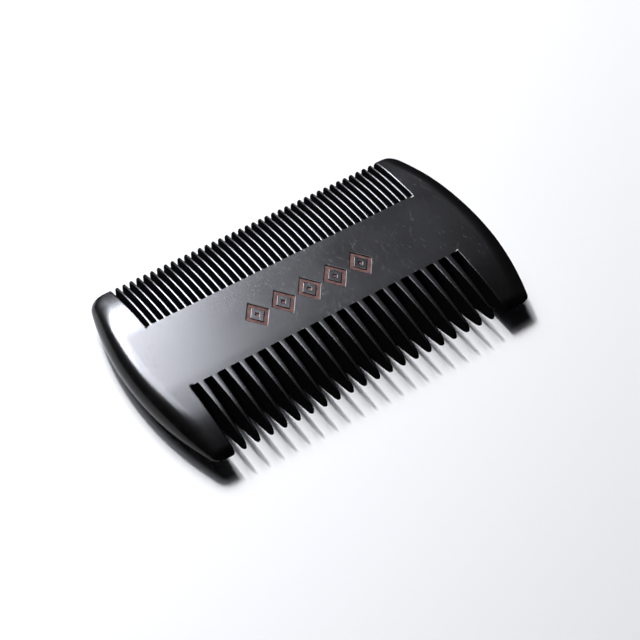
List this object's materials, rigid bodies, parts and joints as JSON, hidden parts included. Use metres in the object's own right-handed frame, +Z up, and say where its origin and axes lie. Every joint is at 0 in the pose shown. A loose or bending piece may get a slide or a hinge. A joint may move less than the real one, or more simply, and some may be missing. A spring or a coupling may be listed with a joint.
{
  "type": "beard comb",
  "caption": "Flat double-sided wooden pocket comb with coarse teeth on one edge, fine teeth on the other and bowed end guards.",
  "frame": {"origin": "under the middle of the comb, on the surface that it lies on", "axes": "+X along the tooth rows, +Y from the coarse tips to the fine tips, +Z up out of the engraved face"},
  "size_m": [0.102, 0.0594, 0.0095],
  "materials": {
    "ebonised_wood": "satin",
    "engraved_wood": "matte"
  },
  "bodies": {
    "root": {"spine": "ebonised_wood", "coarse_guard_left": "ebonised_wood", "coarse_guard_right": "ebonised_wood", "fine_guard_left": "ebonised_wood", "fine_guard_right": "ebonised_wood", "coarse_tooth_01": "ebonised_wood", "coarse_tooth_02": "ebonised_wood", "coarse_tooth_03": "ebonised_wood", "coarse_tooth_04": "ebonised_wood", "coarse_tooth_05": "ebonised_wood", "coarse_tooth_06": "ebonised_wood", "coarse_tooth_07": "ebonised_wood", "coarse_tooth_08": "ebonised_wood", "coarse_tooth_09": "ebonised_wood", "coarse_tooth_10": "ebonised_wood", "coarse_tooth_11": "ebonised_wood", "coarse_tooth_12": "ebonised_wood", "coarse_tooth_13": "ebonised_wood", "coarse_tooth_14": "ebonised_wood", "coarse_tooth_15": "ebonised_wood", "coarse_tooth_16": "ebonised_wood", "coarse_tooth_17": "ebonised_wood", "coarse_tooth_18": "ebonised_wood", "coarse_tooth_19": "ebonised_wood", "coarse_tooth_20": "ebonised_wood", "fine_teeth_01": "ebonised_wood", "fine_teeth_02": "ebonised_wood", "fine_teeth_03": "ebonised_wood", "fine_teeth_04": "ebonised_wood", "fine_teeth_05": "ebonised_wood", "fine_teeth_06": "ebonised_wood", "fine_teeth_07": "ebonised_wood", "fine_teeth_08": "ebonised_wood", "fine_teeth_09": "ebonised_wood", "fine_teeth_10": "ebonised_wood", "fine_teeth_11": "ebonised_wood", "fine_teeth_12": "ebonised_wood", "fine_teeth_13": "ebonised_wood"}
  },
  "joints": []
}
